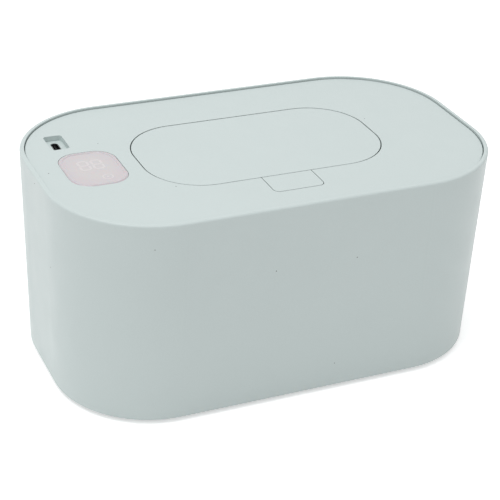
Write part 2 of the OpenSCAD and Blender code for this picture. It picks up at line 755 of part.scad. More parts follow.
module mini_screw(length) {
  translate([0, 0, -mini_head_h]) difference() {
    cylinder(r = mini_head_r, h = mini_head_h);
    for (a = [0, 90]) rotate(a) cube([cross_w, 1.1 * mini_head_r, 0.9 * mini_head_h], center = true);
  }
  cylinder(r = mini_r, h = length);
}

module pcb_screws() {
  color("#9a9fa2") for (p = pcb_xy) translate([p.x, p.y, z_pcb - pcb_t]) mini_screw(pcb_t + mini_bite);
}

module display_module() {
  window_room = 0.3;
  tall = z_panel - window_t - window_room - z_pcb;
  color("#2b2d30") translate([display_x, 0, z_pcb])
    soft_plate(module_w, module_d, display_r - seat_w - 1, 0, tall, 0.5);
}

module display_window() {
  color("#dcd8d9") translate([display_x, 0, 0])
    soft_plate(display_w, display_d, display_r, z_panel - window_t, z_panel, 0.2);
}

module usb_shell() {
  tall = z_pocket - z_pcb;
  color("#b9bbbd") translate([port_x, port_y, z_pcb]) rotate(90) difference() {
    linear_extrude(tall) stadium(port_long, port_short);
    translate([0, 0, port_sheet]) linear_extrude(tall)
      stadium(port_long - 2 * port_sheet, port_short - 2 * port_sheet);
  }
}

module usb_tongue() {
  fit = port_sheet + 0.04;
  foot = 1.4;
  tongue = [6.69, 0.7];
  tongue_drop = 0.6;                          // below the socket's mouth
  color("#1d2022") translate([port_x, port_y, z_pcb + port_sheet]) rotate(90) {
    linear_extrude(foot) stadium(port_long - 2 * fit, port_short - 2 * fit);
    linear_extrude(z_pocket - z_pcb - port_sheet - tongue_drop) square(tongue, center = true);
  }
}

module dispensing_outlet() {
  color("#c3cfce") difference() {
    union() {
      translate([0, 0, z_well - well_t])
        linear_extrude(well_t) stadium(outlet_w - hole_fit, outlet_d - hole_fit);
      translate([0, 0, z_well]) linear_extrude(outlet_flange_t)
        stadium(outlet_w + 2 * outlet_flange, outlet_d + 2 * outlet_flange);
    }
    translate([0, 0, z_well - well_t - cut]) linear_extrude(well_t + outlet_flange_t + 2 * cut) {
      square([slot_w, slot_d], center = true);
      for (x = [-1, 1]) translate([x * slot_w / 2, 0]) circle(slot_end_r);
    }
  }
}

module hinge_pin() {
  reach = ear_xs[0] + ear_t;
  color("#c2c5c7") translate([-reach, pivot_y, z_pivot])
    rotate([0, 90, 0]) cylinder(r = pin_r, h = 2 * reach);
}

// One opening spring: a leg behind it under a rib of the panel, the coil round the pin,
// and a leg that drops behind the goose-neck and hooks across it
module hinge_spring() {
  steps = 45;
  leg_end = stop_y + stop.y - 0.2;
  x0 = ear_xs[1] + ear_t + 1.2 * hinge_wire_r + 0.2;
  x1 = x0 + spring_turns * hinge_pitch;
  y_hook = pivot_y + hinge_coil_r;
  z_hook = z_pivot + leg_z - 0.4;
  coil = [for (i = [0:steps]) let (a = -90 - 360 * spring_turns * i / steps)
    [x0 + hinge_pitch * spring_turns * i / steps,
     pivot_y + hinge_coil_r * cos(a), z_pivot + hinge_coil_r * sin(a)]];
  hook = [[x1 + 0.05, y_hook, z_hook + 0.8], [x1 + 0.25, y_hook, z_hook + 0.25],
          [x1 + 0.8, y_hook, z_hook], [arm_x, y_hook, z_hook]];
  color("#b4b8ba")
    tube(concat([[x0, leg_end, z_pivot - hinge_coil_r]], coil, hook), hinge_wire_r, 6, [0.62, 0.57, 0.54]);
}

module hinge_springs() for (m = [0, 1]) mirror([m, 0, 0]) hinge_spring();

module latch_retainer() {
  half = retainer_screw.x + mini_boss_r;
  back = button_back - 1;
  corner = 2;
  color("#dde3e2") translate([0, 0, z_retainer - retainer_t]) linear_extrude(retainer_t) difference() {
    translate([0, (slider_front + back) / 2]) rounded(2 * half, back - slider_front, corner);
    for (x = [-1, 1]) translate([x * retainer_screw.x, retainer_screw.y]) circle(mini_r + hole_fit);
  }
}

module retainer_screws() {
  color("#9a9fa2") for (x = [-1, 1])
    translate([x * retainer_screw.x, retainer_screw.y, z_retainer - retainer_t])
      mini_screw(retainer_t + mini_bite);
}

module latch_spring() {
  steps = 12 * latch_turns;
  y0 = slider_front - latch_wire_r;
  long = slider_front - spring_seat - 2 * latch_wire_r;
  z = slider_z + slider_t / 2;
  color("#b4b8ba")
    tube([for (i = [0:steps]) let (a = 360 * latch_turns * i / steps)
           [latch_coil_r * cos(a), y0 - long * i / steps, z + latch_coil_r * sin(a)]],
         latch_wire_r, 6, [0, 1, 0]);
}

// ---- flap ----

seal_gap = 0.3;                             // the closed flap keeps its seal this far off the well
seal_t = 1.8;
seal_fit = 0.05;                            // play between the seal and its rib
rib_t = 1.4;                                // rib that the seal is stretched round
rib_gap = 1.4;                              // from the seal's lower edge to the rib's
rib_w = outlet_w + 2 * outlet_flange + 4;
rib_d = outlet_d + 2 * outlet_flange + 4;
frame_z = z_panel - lid_t - frame_t;        // underside of the frame

module lid_profile() {
  z0 = z_panel - lid_t;
  bevel = lid_t - lid_land;
  difference() {
    polygon([[0, z0], [flap_r - bevel, z0], [flap_r, z_panel - lid_land], [flap_r, z_panel], [0, z_panel]]);
    corner_waste([flap_r, z_panel], [0, z_panel], [flap_r, z0], 0.2);
  }
}

module flap_lid() {
  color("#d2dbda") {
    round_loop(flap_w / 2 - flap_r, flap_d / 2 - flap_r) lid_profile();
    core(flap_w / 2 - flap_r, flap_d / 2 - flap_r, z_panel - lid_t, z_panel);
  }
}

// Side view of a goose-neck arm, from the pivot
module arm_shape() {
  root_z = frame_z - z_pivot;
  gusset = [3.5, 3.2];
  gusset_y = 0.3 - crook_out;
  intersection() {
    difference() {
      circle(crook_out);
      circle(crook_in);
    }
    translate([-crook_out - cut, leg_z - arm_t])
      square([crook_out + 2 * cut - pivot_drop, arm_t - leg_z + root_z]);
  }
  translate([-pivot_drop - 0.3, leg_z - arm_t]) square([pivot_drop + 0.3 + arm_t / 2, arm_t]);
  translate([-arm_t / 2, leg_z - arm_t]) square([arm_t, arm_t - leg_z]);
  circle(knuckle_r);
  // gusset into the frame
  polygon([[gusset_y, root_z], [-crook_out - gusset.x, root_z], [gusset_y, root_z - gusset.y]]);
}

module flap_frame() {
  z_rib = z_well + seal_gap + rib_gap;
  front = -flap_d / 2 + frame_inset;          // front of the frame and of the catch's stem
  color("#dfe5e4") difference() {
    union() {
      translate([0, 0, frame_z]) linear_extrude(frame_t) flap_outline(-frame_inset);
      translate([0, 0, z_rib]) linear_extrude(frame_z - z_rib) difference() {
        stadium(rib_w, rib_d);
        stadium(rib_w - 2 * rib_t, rib_d - 2 * rib_t);
      }
      for (x = [-1, 1]) translate([x * arm_x - arm_w / 2, pivot_y, z_pivot])
        rotate([90, 0, 90]) linear_extrude(arm_w) arm_shape();
      // catch with its forward lip, on a stem that widens towards the frame
      translate([-catch_w / 2, 0, 0]) rotate([90, 0, 90]) linear_extrude(catch_w)
        polygon([[front, frame_z], [front, catch_z + catch_lip], [catch_y, catch_z + catch_lip],
                 [catch_y + 0.6, catch_z], [front + 1.4, catch_z], [front + 2.4, frame_z]]);
    }
    pin_hole();
  }
}

module flap_seal() {
  in = 2 * seal_fit;
  out = in + 2 * seal_t;
  z0 = z_well + seal_gap;
  color("#aab4b3") translate([0, 0, z0]) linear_extrude(frame_z - z0) difference() {
    stadium(rib_w + out, rib_d + out);
    stadium(rib_w + in, rib_d + in);
  }
}

// ---- release ----

// The button's outline, drawn in by g: round corners in front, square ones at the flap
module button_outline(g) {
  w = button_w - 2 * g;
  d = button_d - 2 * g;
  translate([0, button_y]) rounded(w, d, button_r);
  translate([-w / 2, button_y]) square([w, d / 2]);
}

module release_button() {
  z_in = z_panel - button_t;                  // underside of the button's top
  notch_w = upstand_w + 2.4;
  color("#d2dbda") difference() {
    union() {
      translate([0, 0, lug_z]) linear_extrude(z_panel - lug_z) button_outline(0);
      translate([-button_w / 2 - lug_out, lug_y[0], lug_z])
        cube([button_w + 2 * lug_out, lug_y[1] - lug_y[0], lug_t]);
    }
    translate([0, 0, lug_z - cut]) linear_extrude(z_in - lug_z + cut) button_outline(button_wall);
    // room for the latch's upstand
    translate([-notch_w / 2, button_back - button_wall - cut, lug_z - cut])
      cube([notch_w, button_wall + 2 * cut, z_in - lug_z + cut]);
  }
  // wedge
  color("#d2dbda") translate([-post_w / 2, 0, 0]) rotate([90, 0, 90]) linear_extrude(post_w)
    polygon([[post[0], z_in], [post[0], post_z + ramp_h], [post[0] + ramp_h, post_z],
             [post[1], post_z], [post[1], z_in]]);
}

module latch_slider() {
  // the ramp's 45 degree face runs from its foot on the plate up to its crest
  ramp_y = post[0] + post_z + ramp_h - ramp_gap * sqrt(2) - slider_top;
  crest_z = post_z + ramp_h;
  crest_y = ramp_y + slider_top - crest_z;
  half = hole_w / 2 - button_gap;
  color("#c9b37a") difference() {
    union() {
      translate([-half, slider_front, slider_z]) cube([2 * half, upstand[1] - slider_front, slider_t]);
      // upstand and nose
      translate([-upstand_w / 2, 0, 0]) rotate([90, 0, 90]) linear_extrude(upstand_w)
        polygon([[upstand[0], slider_z], [upstand[1], slider_z], [upstand[1], nose_z], [nose_y, nose_z],
                 [nose_y - 1, nose_z + nose_t], [upstand[0], nose_z + nose_t]]);
      translate([-ramp_w / 2, 0, 0]) rotate([90, 0, 90]) linear_extrude(ramp_w)
        polygon([[ramp_y, slider_top], [crest_y, crest_z], [crest_y - ramp_d, crest_z],
                 [crest_y - ramp_d, slider_top]]);
    }
    // window that the wedge sinks into
    translate([-ramp_w / 2, ramp_y, slider_z - cut])
      cube([ramp_w, upstand[0] - 0.2 - ramp_y, slider_t + 2 * cut]);
  }
}

tub_shell();
tub_liner();
wall_insulation();
floor_insulation();
feet();
cover_panel();
cover_gasket();
cover_base();
cover_screws();
heater_plate();
heating_film();
heater_insulation();
thermal_cutout();
heater_leads();
control_pcb();
pcb_screws();
display_module();
display_window();
usb_shell();
usb_tongue();
dispensing_outlet();
hinge_pin();
hinge_springs();
latch_retainer();
retainer_screws();
latch_spring();
flap_lid();
flap_frame();
flap_seal();
release_button();
latch_slider();
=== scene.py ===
"""Looks of a baby wipe warmer, laid out as an add-on: its finishes, display, board parts and studio."""
import math

import bmesh
import bpy
from bpy.props import FloatProperty, FloatVectorProperty, PointerProperty, StringProperty
from mathutils import Matrix, Vector


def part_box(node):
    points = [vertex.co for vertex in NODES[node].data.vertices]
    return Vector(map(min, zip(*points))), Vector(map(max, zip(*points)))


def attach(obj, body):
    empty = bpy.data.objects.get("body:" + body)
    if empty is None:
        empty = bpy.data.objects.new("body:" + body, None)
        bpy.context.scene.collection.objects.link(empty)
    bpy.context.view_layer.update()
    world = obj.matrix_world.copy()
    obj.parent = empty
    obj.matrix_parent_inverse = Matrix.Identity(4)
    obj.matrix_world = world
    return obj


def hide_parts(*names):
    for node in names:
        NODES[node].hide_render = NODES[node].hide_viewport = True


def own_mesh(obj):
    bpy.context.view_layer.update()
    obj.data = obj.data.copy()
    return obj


bl_info = {
    "name": "Wipe warmer looks",
    "version": (1, 0, 0),
    "blender": (4, 5, 0),
    "location": "View3D > Sidebar > Wipe warmer",
    "description": "Finishes, display marks, board parts and studio of a baby wipe warmer",
    "category": "Object",
}

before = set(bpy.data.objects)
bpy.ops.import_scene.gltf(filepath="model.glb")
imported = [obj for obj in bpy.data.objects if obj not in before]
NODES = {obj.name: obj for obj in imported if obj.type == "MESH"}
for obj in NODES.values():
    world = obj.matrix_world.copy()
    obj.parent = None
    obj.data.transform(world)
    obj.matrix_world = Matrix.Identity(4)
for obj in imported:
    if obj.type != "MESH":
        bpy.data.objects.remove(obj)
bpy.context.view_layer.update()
MM = 0.001


def tint(red, green, blue):
    """A screen colour of 0 to 255 as the linear colour that a shader takes."""
    return tuple(
        c / 12.92 if c <= 0.04045 else ((c + 0.055) / 1.055) ** 2.4
        for c in (red / 255, green / 255, blue / 255)
    )


# ---------------------------------------------------------------- settings


def colour_of(label, text, default):
    """A colour setting."""
    return FloatVectorProperty(
        name=label, description=text, subtype="COLOR", size=3, min=0, max=1, default=default
    )


def length_of(label, text, default):
    """A length setting."""
    return FloatProperty(
        name=label, description=text, unit="LENGTH", subtype="DISTANCE", min=0, default=default
    )


def angle_of(label, text, degrees):
    """An angle setting."""
    return FloatProperty(name=label, description=text, subtype="ANGLE", default=math.radians(degrees))


class ShellLook(bpy.types.PropertyGroup):
    """Moulded plastics of the tub, the cover and the flap"""

    outer: colour_of("Outer plastic", "Colour of the tub, panel, flap and button", tint(200, 211, 210))
    inner: colour_of("Inner plastic", "Colour of liner, cover base and flap frame", tint(226, 229, 228))
    slider: colour_of("Slider plastic", "Colour of the latch's slider and retainer", tint(214, 212, 203))
    grain: length_of("Grain", "Size of the spark-eroded grain", 0.45 * MM)
    depth: length_of("Grain depth", "Height of the grain", 0.022 * MM)
    roughness: FloatProperty(
        name="Roughness", description="How matt the outer plastic is", subtype="FACTOR",
        min=0, max=1, default=0.42,
    )


class SoftLook(bpy.types.PropertyGroup):
    """Rubber, silicone and foam"""

    foot: colour_of("Feet", "Colour of the rubber feet", tint(120, 125, 126))
    seal: colour_of("Seals", "Colour of the gasket and the flap's seal", tint(208, 216, 214))
    outlet: colour_of("Outlet", "Colour of the dispensing outlet", tint(190, 203, 202))
    foam: colour_of("Foam", "Colour of the insulation", tint(222, 222, 216))
    cell: length_of("Foam cell", "Size of the foam's cells", 0.9 * MM)


class DisplayLook(bpy.types.PropertyGroup):
    """Milky window with its unlit segments"""

    window: colour_of("Window", "Colour of the window's middle", tint(201, 196, 197))
    rim: colour_of("Window's edge", "Colour towards the window's edge", tint(198, 190, 195))
    mark: colour_of("Marks", "Colour of the window's unlit segments", tint(210, 205, 206))
    height: length_of("Digit height", "Height of a digit", 8 * MM)
    digits: StringProperty(name="Digits", description="Digits that the segments form", default="88")


class StudioLook(bpy.types.PropertyGroup):
    """Floor, lamp, surroundings and camera"""

    floor: colour_of("Floor", "Colour of the floor", (0.93, 0.93, 0.93))
    ambient: FloatProperty(name="Surroundings", description="Light from all round", min=0, default=0.6)
    lamp: FloatProperty(
        name="Lamp", description="Power of the soft lamp", unit="POWER", min=0, default=8.3
    )
    distance: length_of("Camera distance", "From the object's middle to the camera", 685.9 * MM)
    azimuth: angle_of("Camera azimuth", "Turn of the camera round the object", -24.93)
    elevation: angle_of("Camera elevation", "Angle of the camera above the floor", 28.37)
    roll: angle_of("Camera roll", "Turn of the camera about its own axis", 2.79)


# ---------------------------------------------------------------- node helpers


def join(tree, socket, value):
    """Puts a value or a link on a socket."""
    if isinstance(value, bpy.types.NodeSocket):
        tree.links.new(value, socket)
    elif hasattr(value, "__len__") and len(value) == 3 and len(socket.default_value) == 4:
        socket.default_value = (*value, 1)
    else:
        socket.default_value = value


def add(tree, kind, inputs=None, **settings):
    """A new node with its settings, and its inputs as values or links."""
    node = tree.nodes.new(kind)
    for name, value in settings.items():
        setattr(node, name, value)
    for name, value in (inputs or {}).items():
        join(tree, node.inputs[name], value)
    return node


def calc(tree, operation, *values, clamp=False):
    """The output of a math node."""
    inputs = dict(enumerate(values))
    return add(tree, "ShaderNodeMath", inputs, operation=operation, use_clamp=clamp).outputs[0]


def vector_calc(tree, operation, *values):
    """The outputs of a vector math node."""
    inputs = dict(enumerate(values))
    return add(tree, "ShaderNodeVectorMath", inputs, operation=operation).outputs


def blend(tree, share, first, second):
    """A mix of two colours."""
    node = add(tree, "ShaderNodeMix", data_type="RGBA")
    for index, value in ((0, share), (6, first), (7, second)):
        join(tree, node.inputs[index], value)
    return node.outputs[2]


def brighten(tree, colour, level):
    """A colour made lighter or darker."""
    return add(tree, "ShaderNodeHueSaturation", {"Color": colour, "Value": level}).outputs[0]


def remap(tree, value, given, wanted):
    """A value moved from one range to another."""
    names = ("Value", "From Min", "From Max", "To Min", "To Max")
    return add(tree, "ShaderNodeMapRange", dict(zip(names, (value, *given, *wanted)))).outputs[0]


def place(tree):
    """The point of the surface in the object's own frame, in metres."""
    return add(tree, "ShaderNodeTexCoord").outputs["Object"]


def noise(tree, point, scale, detail):
    """Soft noise of that many cells a metre."""
    inputs = {"Vector": point, "Scale": scale, "Detail": detail}
    return add(tree, "ShaderNodeTexNoise", inputs).outputs["Fac"]


def cells_of(tree, size, **settings):
    """The outputs of cells of that size."""
    inputs = {"Vector": place(tree), "Scale": calc(tree, "DIVIDE", 1.0, size)}
    return add(tree, "ShaderNodeTexVoronoi", inputs, **settings).outputs


def bump(tree, height, depth):
    """A normal from a height of 0 to 1 and its depth in metres."""
    inputs = {"Height": height, "Distance": depth, "Strength": 1.0}
    return add(tree, "ShaderNodeBump", inputs).outputs["Normal"]


# Sockets that aren't plain numbers
SOCKET_KINDS = {
    "Colour": "NodeSocketColor", "Normal": "NodeSocketVector", "Stretch": "NodeSocketVector",
}


def effect(name, inputs, outputs):
    """A node group with named inputs and outputs; it gives the tree, what comes in and what goes out."""
    tree = bpy.data.node_groups.new(name, "ShaderNodeTree")
    for labels, way in ((inputs, "INPUT"), (outputs, "OUTPUT")):
        for label in labels:
            kind = SOCKET_KINDS.get(label, "NodeSocketFloat")
            tree.interface.new_socket(label, in_out=way, socket_type=kind)
    start, end = tree.nodes.new("NodeGroupInput"), tree.nodes.new("NodeGroupOutput")
    return tree, start.outputs, end.inputs


def use(tree, name, **values):
    """The outputs of an effect placed in a material with its own values."""
    node = tree.nodes.new("ShaderNodeGroup")
    node.node_tree = bpy.data.node_groups[name]
    for label, value in values.items():
        join(tree, node.inputs[label], value)
    return node.outputs


# ---------------------------------------------------------------- effects


def moulded_effect():
    """Spark-eroded grain of a mould, with the slight mottle and sheen differences of handled plastic."""
    tree, given, result = effect(
        "Moulded grain", ("Colour", "Roughness", "Grain", "Depth", "Mottle"),
        ("Colour", "Roughness", "Normal"),
    )
    broad_cells, sheen_cells, grain_weight, sheen_spread = 38.0, 95.0, 2.5, 0.035
    point = place(tree)
    fine = noise(tree, point, calc(tree, "DIVIDE", 1.0, given["Grain"]), 3.0)
    broad = calc(tree, "SUBTRACT", noise(tree, point, broad_cells, 3.0), 0.5)
    speckle = calc(tree, "MULTIPLY_ADD", calc(tree, "SUBTRACT", fine, 0.5), grain_weight, broad)
    level = calc(tree, "ADD", 1.0, calc(tree, "MULTIPLY", speckle, given["Mottle"]))
    join(tree, result["Colour"], brighten(tree, given["Colour"], level))
    handled = noise(tree, point, sheen_cells, 4.0)
    sheen = remap(tree, handled, (0.35, 0.65), (-sheen_spread, sheen_spread))
    join(tree, result["Roughness"], calc(tree, "ADD", given["Roughness"], sheen, clamp=True))
    join(tree, result["Normal"], bump(tree, fine, given["Depth"]))


def edge_effect():
    """Where a surface turns round an edge, for wear and a painted highlight: 1 on the edge, 0 on the flat."""
    tree, given, result = effect("Rubbed edge and painted highlight", ("Width", "Amount"), ("Mask",))
    full_turn, patch_cells = 0.86, 210.0
    flat = add(tree, "ShaderNodeNewGeometry").outputs["Normal"]
    rounded = add(tree, "ShaderNodeBevel", {"Radius": given["Width"]}, samples=6).outputs[0]
    facing = vector_calc(tree, "DOT_PRODUCT", flat, rounded)["Value"]
    turn = remap(tree, facing, (1.0, full_turn), (0.0, 1.0))
    patchy = remap(tree, noise(tree, place(tree), patch_cells, 4.0), (0.3, 0.7), (0.55, 1.0))
    join(tree, result["Mask"], calc(tree, "MULTIPLY", calc(tree, "MULTIPLY", turn, patchy), given["Amount"]))


def seam_effect():
    """Painted shade in seams, from ambient occlusion: 1 deep in a seam, 0 in the open."""
    tree, given, result = effect("Seam shade", ("Reach", "Amount"), ("Mask",))
    inputs = {"Distance": given["Reach"]}
    open_share = add(tree, "ShaderNodeAmbientOcclusion", inputs, samples=8).outputs["AO"]
    closed = remap(tree, open_share, (0.95, 0.35), (0.0, 1.0))
    join(tree, result["Mask"], calc(tree, "MULTIPLY", closed, given["Amount"]))


def dust_effect():
    """Sparse specks of dust: 1 on a speck, 0 elsewhere."""
    tree, given, result = effect("Dust", ("Speck", "Spacing", "Share"), ("Mask",))
    cells = cells_of(tree, given["Spacing"])
    reach = calc(tree, "DIVIDE", given["Speck"], given["Spacing"])
    near = calc(tree, "LESS_THAN", cells["Distance"], reach)
    pick = add(tree, "ShaderNodeSeparateColor", {"Color": cells["Color"]}).outputs[0]
    chosen = calc(tree, "LESS_THAN", pick, given["Share"])
    join(tree, result["Mask"], calc(tree, "MULTIPLY", near, chosen))


def foam_effect():
    """Closed cells of a foam sheet."""
    tree, given, result = effect("Foam cells", ("Colour", "Cell"), ("Colour", "Normal"))
    wall_reach, wall_level, wall_depth = 0.22, 0.82, 0.12
    wall = cells_of(tree, given["Cell"], feature="DISTANCE_TO_EDGE")["Distance"]
    skin_share = remap(tree, wall, (0.0, wall_reach), (0.0, 1.0))
    darker = brighten(tree, given["Colour"], wall_level)
    join(tree, result["Colour"], blend(tree, skin_share, darker, given["Colour"]))
    depth = calc(tree, "MULTIPLY", given["Cell"], wall_depth)
    join(tree, result["Normal"], bump(tree, skin_share, depth))


def drawn_effect():
    """Fine lines of drawn, turned or rolled metal; Stretch is the lines a metre along each axis."""
    tree, given, result = effect(
        "Drawn metal", ("Colour", "Roughness", "Stretch", "Depth"), ("Colour", "Roughness", "Normal")
    )
    dull_level, sheen_spread = 0.86, 0.06
    lines = noise(tree, vector_calc(tree, "MULTIPLY", place(tree), given["Stretch"])[0], 1.0, 4.0)
    dull = brighten(tree, given["Colour"], dull_level)
    join(tree, result["Colour"], blend(tree, lines, dull, given["Colour"]))
    sheen = remap(tree, lines, (0.3, 0.7), (-sheen_spread, sheen_spread))
    join(tree, result["Roughness"], calc(tree, "ADD", given["Roughness"], sheen))
    join(tree, result["Normal"], bump(tree, lines, given["Depth"]))


def track_effect():
    """One track that runs to and fro along X with square turns: 1 on the track, 0 between."""
    tree, given, result = effect("Tracks", ("Pitch", "Width", "Reach"), ("Mask",))
    point = add(tree, "ShaderNodeSeparateXYZ", {0: place(tree)}).outputs
    row = calc(tree, "DIVIDE", point["Y"], given["Pitch"])
    middle = calc(tree, "ABSOLUTE", calc(tree, "SUBTRACT", calc(tree, "FRACT", row), 0.5))
    half = calc(tree, "DIVIDE", given["Width"], calc(tree, "MULTIPLY", given["Pitch"], 2.0))
    inside = calc(tree, "LESS_THAN", calc(tree, "ABSOLUTE", point["X"]), given["Reach"])
    straight = calc(tree, "MULTIPLY", calc(tree, "LESS_THAN", middle, half), inside)
    # The turns change ends: side is -1 between two rows and 1 between the next two
    pair = calc(tree, "DIVIDE", calc(tree, "FLOOR", calc(tree, "ADD", row, 0.5)), 2.0)
    side = calc(tree, "SUBTRACT", calc(tree, "MULTIPLY", calc(tree, "FRACT", pair), 4.0), 1.0)
    end = calc(tree, "SUBTRACT", calc(tree, "MULTIPLY", point["X"], side), given["Reach"])
    beside = calc(tree, "ABSOLUTE", end)
    turn = calc(tree, "LESS_THAN", beside, calc(tree, "MULTIPLY", given["Width"], 0.5))
    join(tree, result["Mask"], calc(tree, "MAXIMUM", straight, turn))


EFFECTS = (moulded_effect, edge_effect, seam_effect, dust_effect, foam_effect, drawn_effect, track_effect)


# ---------------------------------------------------------------- materials

# Rubbed edges: how far they reach, how strongly, how much lighter they are as a painted highlight, and how
# much smoother from wear
EDGE_WIDTH, EDGE_AMOUNT, EDGE_HIGHLIGHT, EDGE_SMOOTHER = 0.5 * MM, 0.5, 1.09, 0.25
# Painted shade in seams: how far it reaches from the seam, and how dark it gets
SEAM_REACH, SEAM_DARKER = 0.9 * MM, 0.6
# Specks of dust: their radius, spacing and colour
SPECK, SPECK_SPACING, SPECK_COLOUR = 0.28 * MM, 12 * MM, tint(112, 118, 118)
# Height of a metal's drawn lines
LINE_DEPTH = 0.004 * MM


def finish_of(name, constants, build):
    """A material with constants on its shader's own sockets, and links from what build gives."""
    material = bpy.data.materials.new(name)
    material.use_nodes = True
    tree = material.node_tree
    shader = tree.nodes["Principled BSDF"]
    for label, value in {**constants, **build(tree)}.items():
        join(tree, shader.inputs[label], value)
    return material


def surface_of(outputs, colour=None, normal=None):
    """What an effect gives, by the shader's own names, with another colour or normal where given."""
    return {
        "Base Color": colour or outputs["Colour"],
        "Roughness": outputs["Roughness"],
        "Normal": normal or outputs["Normal"],
    }


def moulded(name, colour, roughness, grain, depth, mottle=0.03, seam=0.0, dust=0.0, **constants):
    """Moulded plastic or rubber with grain, rubbed edges with a painted highlight and, where given, painted
    shade in seams and dust.
    """

    def build(tree):
        surface = use(
            tree, "Moulded grain", Colour=colour, Roughness=roughness, Grain=grain, Depth=depth, Mottle=mottle
        )
        edge = use(tree, "Rubbed edge and painted highlight", Width=EDGE_WIDTH, Amount=EDGE_AMOUNT)["Mask"]
        # Painted highlight: the colour is made lighter on edges; the lower roughness there is wear
        lighter = brighten(tree, surface["Colour"], EDGE_HIGHLIGHT)
        base = blend(tree, edge, surface["Colour"], lighter)
        if seam:
            # Painted shade: the colour is darkened in seams where ambient occlusion finds them
            shade = use(tree, "Seam shade", Reach=SEAM_REACH, Amount=seam)["Mask"]
            base = blend(tree, shade, base, brighten(tree, base, SEAM_DARKER))
        if dust:
            specks = use(tree, "Dust", Speck=SPECK, Spacing=SPECK_SPACING, Share=dust)["Mask"]
            base = blend(tree, specks, base, SPECK_COLOUR)
        rubbed = calc(tree, "MULTIPLY", edge, EDGE_SMOOTHER)
        smooth = calc(tree, "SUBTRACT", surface["Roughness"], rubbed, clamp=True)
        return {"Base Color": base, "Roughness": smooth, "Normal": surface["Normal"]}

    return finish_of(name, {"IOR": 1.47, **constants}, build)


def metal(name, colour, roughness, stretch):
    """Drawn, turned or rolled metal."""

    def build(tree):
        return surface_of(
            use(tree, "Drawn metal", Colour=colour, Roughness=roughness, Stretch=stretch, Depth=LINE_DEPTH)
        )

    return finish_of(name, {"Metallic": 1.0}, build)


def dress(material, *names):
    """Gives CAD nodes a material."""
    for name in names:
        mesh = NODES[name].data
        mesh.materials.clear()
        mesh.materials.append(material)


def show(name, data):
    """A new object in the scene."""
    made = bpy.data.objects.new(name, data)
    bpy.context.scene.collection.objects.link(made)
    return made


def mesh_of(name, mesh, material):
    """A bmesh as mesh data with its material."""
    data = bpy.data.meshes.new(name)
    mesh.to_mesh(data)
    mesh.free()
    data.materials.append(material)
    return data


def piece(name, mesh, material, body):
    """A new piece from a bmesh with its material, which rides on a CAD body."""
    made = show(name, mesh_of(name, mesh, material))
    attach(made, body)


# ---------------------------------------------------------------- meshes


def skin(mesh, rings, closed=False, smooth=False):
    """Faces between neighbouring rings of points, and from the last to the first where closed."""
    rows = [[mesh.verts.new(point) for point in ring] for ring in rings]
    for one, two in zip(rows, rows[1:] + rows[:1] if closed else rows[1:]):
        for i in range(len(one)):
            j = (i + 1) % len(one)
            mesh.faces.new((one[i], one[j], two[j], two[i])).smooth = smooth
    return rows


def prism(mesh, outline, low, high, chamfer=0.0):
    """An upright prism on a closed outline of points, with a chamfer round its top where given."""
    middle = Vector((sum(p[0] for p in outline), sum(p[1] for p in outline))) / len(outline)
    levels = [(0.0, low), (0.0, high - chamfer)] + [(chamfer, high)] * (chamfer > 0)
    rings = []
    for inset, height in levels:
        inwards = inset * math.sqrt(2)
        out = [Vector(point) - middle for point in outline]
        rings.append([(*(middle + o - o.normalized() * inwards), height) for o in out])
    rows = skin(mesh, rings)
    mesh.faces.new(rows[-1])
    mesh.faces.new(rows[0][::-1])


def circle_points(x, y, radius, count):
    """Points of a circle, anticlockwise."""
    turns = [2 * math.pi * i / count for i in range(count)]
    return [(x + radius * math.cos(a), y + radius * math.sin(a)) for a in turns]


def rounded_points(low, high, radius, inset=0.0, steps=10):
    """A rounded rectangle between two corners, moved inwards by inset."""
    points = []
    middle, reach = (low + high) / 2, radius - inset
    corners = ((high.x, high.y), (low.x, high.y), (low.x, low.y), (high.x, low.y))
    for turn, (x, y) in enumerate(corners):
        centre_x = x - math.copysign(radius, x - middle.x)
        centre_y = y - math.copysign(radius, y - middle.y)
        for step in range(steps + 1):
            angle = math.radians(90) * (turn + step / steps)
            points.append((centre_x + reach * math.cos(angle), centre_y + reach * math.sin(angle)))
    return points


# ---------------------------------------------------------------- board and socket

# Places in plan, sizes and heights over the board, all in millimetres
BODY_LOW, BODY_HIGH = 0.1, 1.1
CHIP_AT, CHIP_SIDE, CHIP_CHAMFER, CHIP_LEGS = (-78.5, 18.8), 6.0, 0.2, 7
LEG_PITCH, LEG_OUT, LEG_W, LEG_LONG, LEG_T, LEG_CHAMFER = 0.8, 0.5, 0.35, 1.1, 0.18, 0.04
TRANSISTORS = ((-72.6, -16.6), (-72.6, -21.2))
TRANSISTOR_SIZE, TRANSISTOR_CHAMFER = (2.9, 1.4), 0.15
TRANSISTOR_LEGS, TRANSISTOR_LEG_SIZE = ((-0.95, -1.05), (0.95, -1.05), (0.0, 1.05)), (0.4, 0.8)
CERAMICS = ((-85.6, 15.6), (-85.6, 18.4), (-85.6, 21.2), (-72.2, 23.6), (-72.2, 25.6), (-66.0, -12.0))
CERAMIC_SIZE, CERAMIC_LOW, CERAMIC_HIGH, CERAMIC_CHAMFER = (1.0, 0.82), 0.02, 0.82, 0.06
CERAMIC_END, CERAMIC_END_AT, CERAMIC_END_HIGH, CERAMIC_END_CHAMFER = (0.34, 0.86), 0.65, 0.84, 0.05
COIL_AT, COIL_SIDE, COIL_ROUND, COIL_HIGH, COIL_CHAMFER = (-67.5, 31.0), 5.0, 0.8, 2.8, 0.25
COIL_PAD, COIL_PAD_AT, PAD_T = (1.2, 3.6), 2.3, 0.2
CAN_AT = (-79.5, -19.0)
# Radius and height of the can from its foot, over its groove, to the middle of its top
CAN_PROFILE = (
    (2.9, 0.1), (3.1, 0.25), (3.15, 0.4), (2.95, 0.65), (2.95, 0.85), (3.15, 1.1), (3.15, 4.0),
    (3.05, 4.2), (2.7, 4.25), (0.0, 4.2),
)
